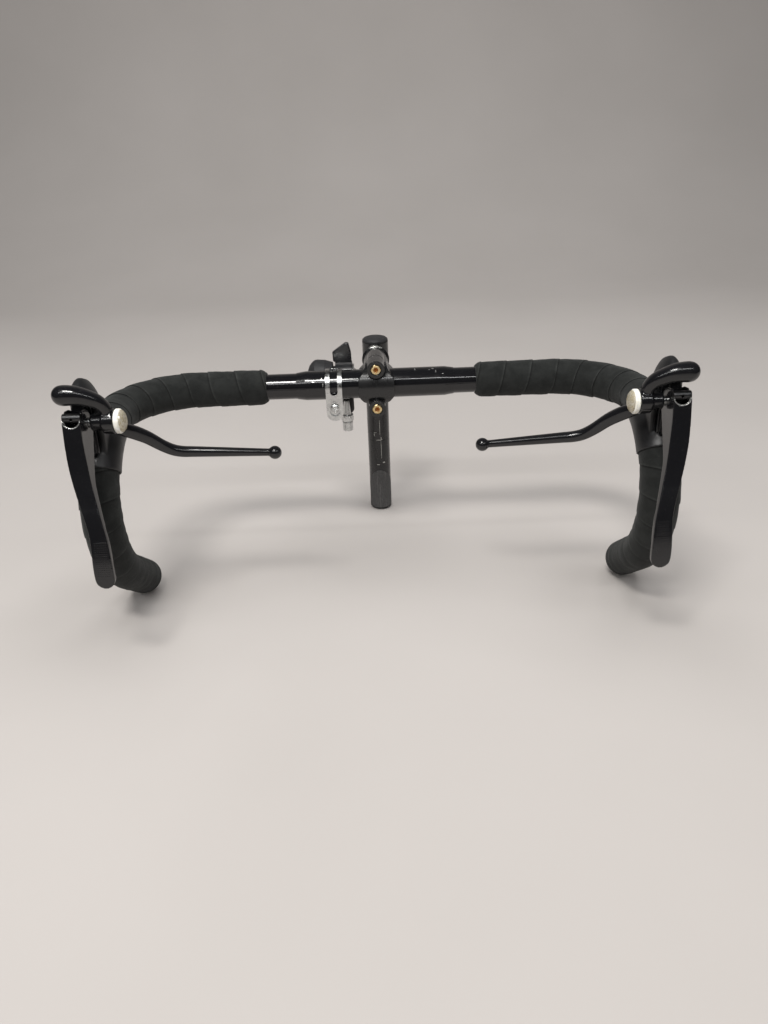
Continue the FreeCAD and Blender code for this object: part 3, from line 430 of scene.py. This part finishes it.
def make_materials():
    bar_nicks = [
        (from_bar(34, -3, 12.4), (0.0005, 0.0014, 0.0012)),
        (from_bar(46.5, -4.5, 11.9), (0.0008, 0.0004, 0.0012)),
        (from_bar(49.5, -3, 12.4), (0.0010, 0.0010, 0.0004)),
        (from_bar(52, -6.5, 10.9), (0.0004, 0.0012, 0.0010)),
        (from_bar(58, -8.6, 9.3), (0.0005, 0.0004, 0.0004)),
        (from_bar(-47.5, -9.5, 8.4), (0.0005, 0.0012, 0.0013)),
        (from_bar(-46.6, -12, 3.9), (0.0004, 0.0008, 0.0016)),
        (from_bar(-55, -10.8, 6.6), (0.0012, 0.0004, 0.0005)),
    ]
    stem_nicks = [
        (from_bar(-3, 72, 12.4), (0.0075, 0.0016, 0.0012)),
        (from_bar(5, 72, 12.0), (0.0030, 0.0013, 0.0011)),
        (from_bar(1.4, 73.9, -72), (0.0002, 0.0010, 0.009)),
        (from_bar(2.2, 73.9, -96), (0.0002, 0.0010, 0.010)),
        (from_bar(-3.6, 74.4, -76.6), (0.0026, 0.0010, 0.0003)),
        (from_bar(-4.4, 74.4, -79), (0.0003, 0.0010, 0.0022)),
        (from_bar(0.4, 73.9, -84.9), (0.0044, 0.0010, 0.0003)),
        (from_bar(2.4, 74.2, -83.4), (0.0003, 0.0010, 0.0016)),
        (from_bar(-1.6, 74.0, -112.4), (0.0020, 0.0010, 0.0003)),
        (from_bar(4.6, 74.6, -110.2), (0.0016, 0.0010, 0.0007)),
        (from_bar(-14.5, -13.6, -3), (0.0007, 0.0010, 0.0030)),
        (from_bar(6.5, -14, 22), (0.0009, 0.0012, 0.0022)),
    ]
    paint = (0.0075, 0.0075, 0.0085)
    return {
        "gloss_black_paint": black_paint("bar_black_paint", paint, 0.13, bar_nicks, 0.25),
        "stem_black_paint": black_paint("stem_black_paint", (0.010, 0.010, 0.0105), 0.24,
                                        stem_nicks, 0.30, 0.0012, 0.22, quill_marks),
        "lever_black_paint": black_paint("lever_black_paint", paint, 0.16, (), 0.08, 0.0008,
                                         0.14, grip_dots, mouth_rim),
        "black_bar_tape": bar_tape(),
        "gloss_black_plastic": moulded("gloss_black_plastic", (0.012, 0.012, 0.013), 0.30, 0.15,
                                       0.10, 0.0006, 0.0, 0.35),
        "matte_dark_plastic": moulded("matte_dark_plastic", (0.018, 0.018, 0.019), 0.58, 0.30,
                                      0.30, 0.0008),
        "black_rubber": moulded("black_rubber", (0.0085, 0.0085, 0.0092), 0.46, 0.25, 0.14, 0.0010,
                                0.04),
        "zinc_steel": zinc(),
        "gold_bolt": gold_bolt(),
        "matte_grey_metal": cast_grey(),
        "white_nylon": nylon(),
        "stained_steel": stained_cap(),
    }


MATERIALS = make_materials()
SLOT_OF = {row["node"]: row["material_slot"] for row in frame["record"]["subparts"]}


def dress(thing, slot):
    """Gives an object the material of one record slot, and no other."""
    thing.data.materials.clear()
    thing.data.materials.append(MATERIALS[slot])


# ------------------------------------------------------------ meshes


def mesh_object(name, points, faces, smooth=True):
    mesh = bpy.data.meshes.new(name)
    mesh.from_pydata([tuple(map(float, point)) for point in points], [],
                     [tuple(map(int, face)) for face in faces])
    mesh.update()
    if smooth:
        mesh.polygons.foreach_set("use_smooth", [True] * len(mesh.polygons))
    thing = bpy.data.objects.new(name, mesh)
    bpy.context.scene.collection.objects.link(thing)
    return thing


def bar_line(side):
    """Centre line of half the bar: functions of the distance from its middle."""
    straight = HALF_WIDTH - CORNER
    runs = [straight, CORNER * math.pi / 2, RAMP, HOOK * math.pi / 2, DROP * DROP_TURN, END_RUN]
    ends = np.cumsum(runs)

    def spot(distance):
        """Centre, direction and inward vector (towards the bend's centre)."""
        d = distance
        if d <= ends[0]:
            return [d, 0, 0], [1, 0, 0], [0, -1, 0]
        if d <= ends[1]:
            t = (d - ends[0]) / CORNER
            centre = [straight + CORNER * math.sin(t), CORNER * (math.cos(t) - 1), 0]
            return centre, [math.cos(t), -math.sin(t), 0], [-math.sin(t), -math.cos(t), 0]
        y = -CORNER
        if d <= ends[2]:
            return [HALF_WIDTH, y - (d - ends[1]), 0], [0, -1, 0], [0, 0, -1]
        y -= RAMP
        if d <= ends[3]:
            t = (d - ends[2]) / HOOK
            centre = [HALF_WIDTH, y - HOOK * math.sin(t), HOOK * (math.cos(t) - 1)]
            return centre, [0, -math.cos(t), -math.sin(t)], [0, math.sin(t), -math.cos(t)]
        y = y - HOOK + DROP
        t = min((d - ends[3]) / DROP, DROP_TURN)
        past = max(0.0, d - ends[4])
        centre = [HALF_WIDTH, y - DROP * math.cos(t) + past * math.sin(t),
                  -HOOK - DROP * math.sin(t) - past * math.cos(t)]
        return centre, [0, math.sin(t), -math.cos(t)], [0, math.cos(t), math.sin(t)]

    def place(distance):
        """Centre, direction, inward vector, and a cross vector that never jumps."""
        centre, along, inward = (np.array(v, float) for v in spot(distance))
        flip = np.array([side, 1, 1])
        steady = inward if distance <= ends[1] else np.array([-1.0, 0.0, 0.0])
        return centre * flip + BAR_ORIGIN, along * flip, inward * flip, steady * flip

    return place, ends


def wrap_marks(start, end):
    """Distances of the tape's wrap edges: wide on the tops, tight at the ends."""
    marks, spot = [start - 0.020], start
    while spot < end:
        marks.append(spot)
        share = (spot - start) / (end - start)
        step = 0.0225 if share < 0.30 else 0.0200
        if share > 0.74:
            step = 0.0150
        if share > 0.86:
            step = 0.0098
        spot += step
    marks.append(spot)
    marks.append(spot + 0.012)
    return np.array(marks)


def wrapped_tape(name, side):
    """Bar tape as one long strip, each wrap lapping over the one before it."""
    rng = np.random.default_rng(7 if side > 0 else 11)
    place, ends = bar_line(side)
    start, end = TAPE_START["left" if side < 0 else "right"], ends[-1]
    marks = wrap_marks(start, end)
    around = WRAP_AROUND
    shares = np.concatenate([np.linspace(0, 0.1, 3), np.linspace(0.17, 0.93, 8), [0.975, 1.0]])
    across = len(shares)
    turns = len(marks) - 2
    count = turns * around + 1
    waves = [(rng.uniform(180, 900), rng.uniform(0, 6.28), rng.uniform(0, 6.28)) for _ in range(10)]
    wobble = np.interp(np.linspace(0, turns, count), np.arange(turns + 1),
                       rng.uniform(-0.0011, 0.0011, turns + 1))
    high = TAPE_RADIUS + 0.00010
    low = high - TAPE_LAP
    points, factor = [], []
    for i in range(count):
        turn = i / around
        angle = -2 * math.pi * turn * side
        lows = np.interp(turn, np.arange(len(marks)), marks) + wobble[i]
        step = min(i + around, count - 1)
        highs = np.interp(turn + 1, np.arange(len(marks)), marks) + wobble[step]
        for share in shares:
            spot = min(max(lows + (highs - lows) * share, start), end)
            centre, along, inward, steady = place(spot)
            sideways = np.cross(along, steady)
            direction = steady * math.cos(angle) + sideways * math.sin(angle)
            facing = float(np.dot(direction, inward))
            radius = low + (high - low) * min(1.0, share / 0.85) ** 0.8
            radius += sum(0.000035 * math.sin(f * spot + 0.33 * p * angle + q)
                          for f, p, q in waves[:6])
            bend = 1.0 if ends[0] < spot < ends[4] else 0.0
            inner = max(0.0, facing) ** 2 * bend
            radius += inner * 0.00022 * math.sin(1500 * spot + 3 * math.sin(90 * spot))
            from_end = min(spot - start, end - spot)
            round_off = min(1.0, from_end / TAPE_END_ROUNDING)
            closed = BAR_RADIUS + TAPE_CLOSED
            radius = closed + (radius - closed) * (1 - (1 - round_off) ** 2.2)
            points.append(centre + direction * radius)
            factor.append(share)
    faces = []
    for i in range(count - 1):
        for j in range(across - 1):
            a = i * across + j
            faces.append((a, a + 1, a + across + 1, a + across))
        if i + around + 1 < count:
            a, b = i * across + across - 1, (i + around) * across
            faces.append((a, b, b + across, a + across))
    for spot in (start, end):
        centre, along, inward, steady = place(spot)
        sideways = np.cross(along, inward)
        first = len(points)
        for k in range(64):
            angle = 2 * math.pi * k / 64
            direction = inward * math.cos(angle) + sideways * math.sin(angle)
            points += [centre + direction * (BAR_RADIUS + 0.00003),
                       centre + direction * (BAR_RADIUS + 0.00125)]
            factor += [0.5, 0.5]
        for k in range(64):
            a, b = first + 2 * k, first + 2 * ((k + 1) % 64)
            faces.append((a, b, b + 1, a + 1))
    thing = mesh_object(name, points, faces)
    data = thing.data.attributes.new("across", "FLOAT", "POINT")
    data.data.foreach_set("value", np.array(factor, np.float32))
    mesh = bmesh.new()
    mesh.from_mesh(thing.data)
    bmesh.ops.dissolve_degenerate(mesh, dist=1e-6, edges=mesh.edges)
    bmesh.ops.recalc_face_normals(mesh, faces=mesh.faces)
    for edge in mesh.edges:
        if len(edge.link_faces) == 2 and edge.calc_face_angle(0) > math.radians(48):
            edge.smooth = False
    mesh.to_mesh(thing.data)
    mesh.free()
    return thing


def smooth_line(knots, steps):
    """Points of a curve through the knots, each knot a row of numbers."""
    knots = np.array(knots, float)
    padded = np.vstack([2 * knots[0] - knots[1], knots, 2 * knots[-1] - knots[-2]])
    found = []
    for i in range(1, len(padded) - 2):
        a, b, c, d = padded[i - 1:i + 3]
        for k in range(steps):
            t = k / steps
            found.append(0.5 * (2 * b + (c - a) * t + (2 * a - 5 * b + 4 * c - d) * t * t
                                + (3 * b - a - 3 * c + d) * t ** 3))
    found.append(padded[-2])
    return np.array(found)


def closed_tube(rings, around):
    """Faces of a tube of rings of points, with both ends closed."""
    faces = []
    for i in range(rings - 1):
        for k in range(around):
            a, b = i * around + k, i * around + (k + 1) % around
            faces.append((a, b, b + around, a + around))
    faces.append(tuple(range(around))[::-1])
    last = (rings - 1) * around
    faces.append(tuple(range(last, last + around)))
    return faces


def arm(knots, steps=10, around=40, square=2.3, up=(0, 0, 1)):
    """Forged arm: knots are centre x, y, z, half height and half thickness."""
    line = smooth_line(knots, steps)
    centres, sizes = line[:, :3], np.maximum(line[:, 3:5], 0.0002)
    runs = np.gradient(centres, axis=0)
    points = []
    for centre, size, run in zip(centres, sizes, runs):
        run = run / np.linalg.norm(run)
        tall = np.array(up, float) - run * np.dot(up, run)
        tall /= np.linalg.norm(tall)
        wide = np.cross(run, tall)
        for k in range(around):
            angle = 2 * math.pi * k / around
            c, s = math.cos(angle), math.sin(angle)
            points.append(centre
                          + tall * size[0] * math.copysign(abs(c) ** (2 / square), c)
                          + wide * size[1] * math.copysign(abs(s) ** (2 / square), s))
    return points, closed_tube(len(centres), around)


def ball(centre, radius, rings=24, around=40):
    points = []
    for i in range(1, rings):
        t = math.pi * i / rings
        for k in range(around):
            a = 2 * math.pi * k / around
            points.append(np.array(centre) + radius * np.array(
                [math.cos(t), math.sin(t) * math.cos(a), math.sin(t) * math.sin(a)]))
    return points, closed_tube(rings - 1, around)


def gather(parts, side):
    """Joins meshes given in bar-frame metres, mirrored for the left side."""
    points, faces = [], []
    for some, more in parts:
        base = len(points)
        for p in some:
            p = np.array(p, float)
            points.append(np.array([p[0] * side, p[1], p[2]]) + BAR_ORIGIN)
        for face in more:
            face = tuple(base + index for index in face)
            faces.append(face if side > 0 else face[::-1])
    return points, faces


def melted(thing, voxel, rounds, keep=0.5):
    """One smooth skin over a mesh: seams filled and edges rounded, as if forged."""
    skin = thing.modifiers.new("skin", "REMESH")
    skin.mode = "VOXEL"
    skin.voxel_size = voxel
    soft = thing.modifiers.new("soft", "SMOOTH")
    soft.factor, soft.iterations = 0.5, rounds
    fewer = thing.modifiers.new("fewer", "DECIMATE")
    fewer.ratio = keep
    shown = thing.evaluated_get(bpy.context.evaluated_depsgraph_get())
    data = bpy.data.meshes.new_from_object(shown)
    data.name = thing.name
    data.polygons.foreach_set("use_smooth", [True] * len(data.polygons))
    thing.modifiers.clear()
    thing.data = data
    return thing


def stand_in(thing, node):
    """Rides on the node's body, stands for it and wears its material."""
    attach(thing, NODES[node]["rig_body"])
    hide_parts(node)
    dress(thing, SLOT_OF[node])
    return thing


def rounded_copy(node, voxel, rounds, keep=0.5):
    """Copy of a CAD node with soft edges, standing for it."""
    source = NODES[node]
    thing = bpy.data.objects.new(node + "_rounded", source.data.copy())
    bpy.context.scene.collection.objects.link(thing)
    mesh = bmesh.new()
    mesh.from_mesh(thing.data)
    bmesh.ops.remove_doubles(mesh, verts=mesh.verts, dist=2e-6)
    mesh.to_mesh(thing.data)
    mesh.free()
    return stand_in(melted(thing, voxel, rounds, keep), node)


# ------------------------------------------------------------ pieces


def dress_cad_nodes():
    for name, thing in NODES.items():
        dress(thing, SLOT_OF[name])


def make_tapes():
    for name, side in SIDES.items():
        tape = wrapped_tape(f"wrapped_tape_{name}", side)
        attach(tape, "bar_and_stem")
        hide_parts(f"bar_tape_{name}")
        dress(tape, "black_bar_tape")


def disc(spot, radius, thickness, ease=0.001, around=64):
    """Round plate along X with eased edges, from spot towards +X."""
    outline = [(0.0, radius - ease), (ease * 0.3, radius - ease * 0.3), (ease, radius),
               (thickness - ease, radius), (thickness - ease * 0.3, radius - ease * 0.3),
               (thickness, radius - ease)]
    points = []
    for along, size in outline:
        for k in range(around):
            a = 2 * math.pi * k / around
            points.append(np.array(spot) + [along, size * math.cos(a), size * math.sin(a)])
    return points, closed_tube(len(outline), around)


def make_extension_levers():
    """Forged extension levers: hub, tongue over the blade's top, and ball-ended arm."""
    mm = 0.001
    hub = 193.5
    tongue = [
        (hub, -130.5, 21, 4.8, 4.3), (hub, -131, 27, 5.0, 4.4), (hub + 1, -132, 32.5, 5.0, 4.8),
        (hub + 4.6, -134, 38.2, 5.4, 5.3), (204, -136, 42, 6.0, 5.9),
        (210.5, -137.4, 44.4, 6.7, 6.7), (216, -137.6, 45, 7.1, 7.1), (220, -137.6, 45, 7.3, 7.3),
    ]
    rod = [
        (hub + 0.5, -127.5, 19.5, 3.6, 4.2), (hub - 0.5, -125, 16.5, 4.2, 4.4),
        (187, -121, 11.5, 5.1, 4.6), (181, -117, 7.2, 5.3, 4.4), (174, -112.5, 1.2, 5.0, 4.3),
        (166, -107, -7.6, 4.6, 4.3), (159, -103.5, -13.2, 4.4, 4.3),
        (152, -101.8, -15.6, 4.3, 4.2), (143, -100.6, -16.6, 4.1, 4.1),
        (115, -98.8, -18.8, 3.5, 3.5), (87.5, -97, -21, 2.9, 2.9), (84, -97, -21.2, 2.9, 2.9),
    ]
    for name, side in SIDES.items():
        parts = [
            arm([[v * mm for v in row] for row in tongue], up=(0, 1, 0)),
            arm([[v * mm for v in row] for row in rod]),
            ball((220 * mm, -137.6 * mm, 45 * mm), 7.3 * mm),
            ball((81.6 * mm, -97 * mm, -21.4 * mm), 5.3 * mm),
            disc((188.5 * mm, -130.5 * mm, 22 * mm), 9 * mm, 9 * mm),
            disc((188.6 * mm, -130.5 * mm, 22 * mm), 6.4 * mm, 17.4 * mm, 0.0006),
        ]
        points, faces = gather(parts, side)
        lever = mesh_object(f"extension_lever_{name}_forged", points, faces)
        stand_in(melted(lever, 0.00055, 6, 0.6), f"extension_lever_{name}")


def make_blades_and_hoods():
    for name in SIDES:
        rounded_copy(f"brake_blade_{name}", 0.00042, 8)
        rounded_copy(f"lever_hood_{name}", 0.0007, 12)


def backdrop():
    """Pale floor that curves up into a pale wall behind."""
    points, faces = [], []
    profile = [(-3.0, 0.0), (1.0, 0.0)]
    for k in range(1, 17):
        t = math.pi / 2 * k / 16
        profile.append((1.0 + 1.0 * math.sin(t), 1.0 - 1.0 * math.cos(t)))
    profile.append((2.0, 4.0))
    for y, z in profile:
        points += [(-5, y, FLOOR + z), (5, y, FLOOR + z)]
    for k in range(len(profile) - 1):
        faces.append((2 * k, 2 * k + 1, 2 * k + 3, 2 * k + 2))
    thing = mesh_object("studio_floor", points, faces)
    s = Shader("studio_floor_paint")
    cloud = s.noise(3, 4, 0.5)
    base = s.mix(cloud, (0.40, 0.375, 0.355), (0.46, 0.432, 0.412))
    thing.data.materials.append(s.finish(Base_Color=base, Roughness=0.75,
                                         Specular_IOR_Level=0.2))


def area_light(name, spot, target, size, power, colour=(1, 1, 1), gleam=True):
    data = bpy.data.lights.new(name, "AREA")
    data.shape = "RECTANGLE"
    data.size, data.size_y = size
    data.energy = power
    data.color = colour
    lamp = bpy.data.objects.new(name, data)
    lamp.location = spot
    lamp.rotation_euler = (Vector(target) - Vector(spot)).to_track_quat("-Z", "Y").to_euler()
    lamp.visible_glossy = gleam
    bpy.context.scene.collection.objects.link(lamp)
    return lamp


def lights():
    world = bpy.data.worlds.new("studio")
    world.use_nodes = True
    world.node_tree.nodes["Background"].inputs[0].default_value = (0.80, 0.80, 0.82, 1)
    world.node_tree.nodes["Background"].inputs[1].default_value = 0.17
    bpy.context.scene.world = world
    world.cycles_visibility.glossy = False
    area_light("key", (-0.35, -0.95, 1.55), (0, -0.1, 0.1), (0.55, 0.22), 20, (1, 0.98, 0.95))
    area_light("overhead", (0.1, 0.25, 1.9), (0, 0, 0.05), (1.8, 1.2), 27,
               gleam=False)
    area_light("front_strip", (0.0, -1.0, 0.95), (0, -0.08, 0.1), (2.2, 0.05), 7)
    area_light("left_fill", (-1.6, -0.6, 0.9), (0, -0.1, 0.05), (0.9, 1.2), 7, gleam=False)
    area_light("right_fill", (1.6, -0.4, 0.8), (0, -0.1, 0.05), (0.7, 1.2), 5, gleam=False)


def camera():
    """Camera at the height, tilt and lens that fit the real view."""
    pitch, turn, roll = 0.4840840395, 0.0010930375, -0.0377494924
    data = bpy.data.cameras.new("camera")
    data.sensor_fit = "VERTICAL"
    data.sensor_height = 36
    data.sensor_width = 27
    data.lens = 774.2863 / 1024 * 36
    data.clip_start = 0.01
    eye = bpy.data.objects.new("camera", data)
    spot = Vector((0.00170, -0.65965, 0.21778)) + Vector(tuple(BAR_ORIGIN))
    look = Matrix.Rotation(-turn, 4, "Z") @ Matrix.Rotation(math.pi / 2 - pitch, 4, "X")
    eye.matrix_world = Matrix.Translation(spot) @ look @ Matrix.Rotation(roll, 4, "Z")
    bpy.context.scene.collection.objects.link(eye)
    bpy.context.scene.camera = eye


dress_cad_nodes()
make_tapes()
make_extension_levers()
make_blades_and_hoods()
backdrop()
lights()
camera()

scene = bpy.context.scene
scene.view_settings.view_transform = "Standard"
scene.view_settings.look = "None"
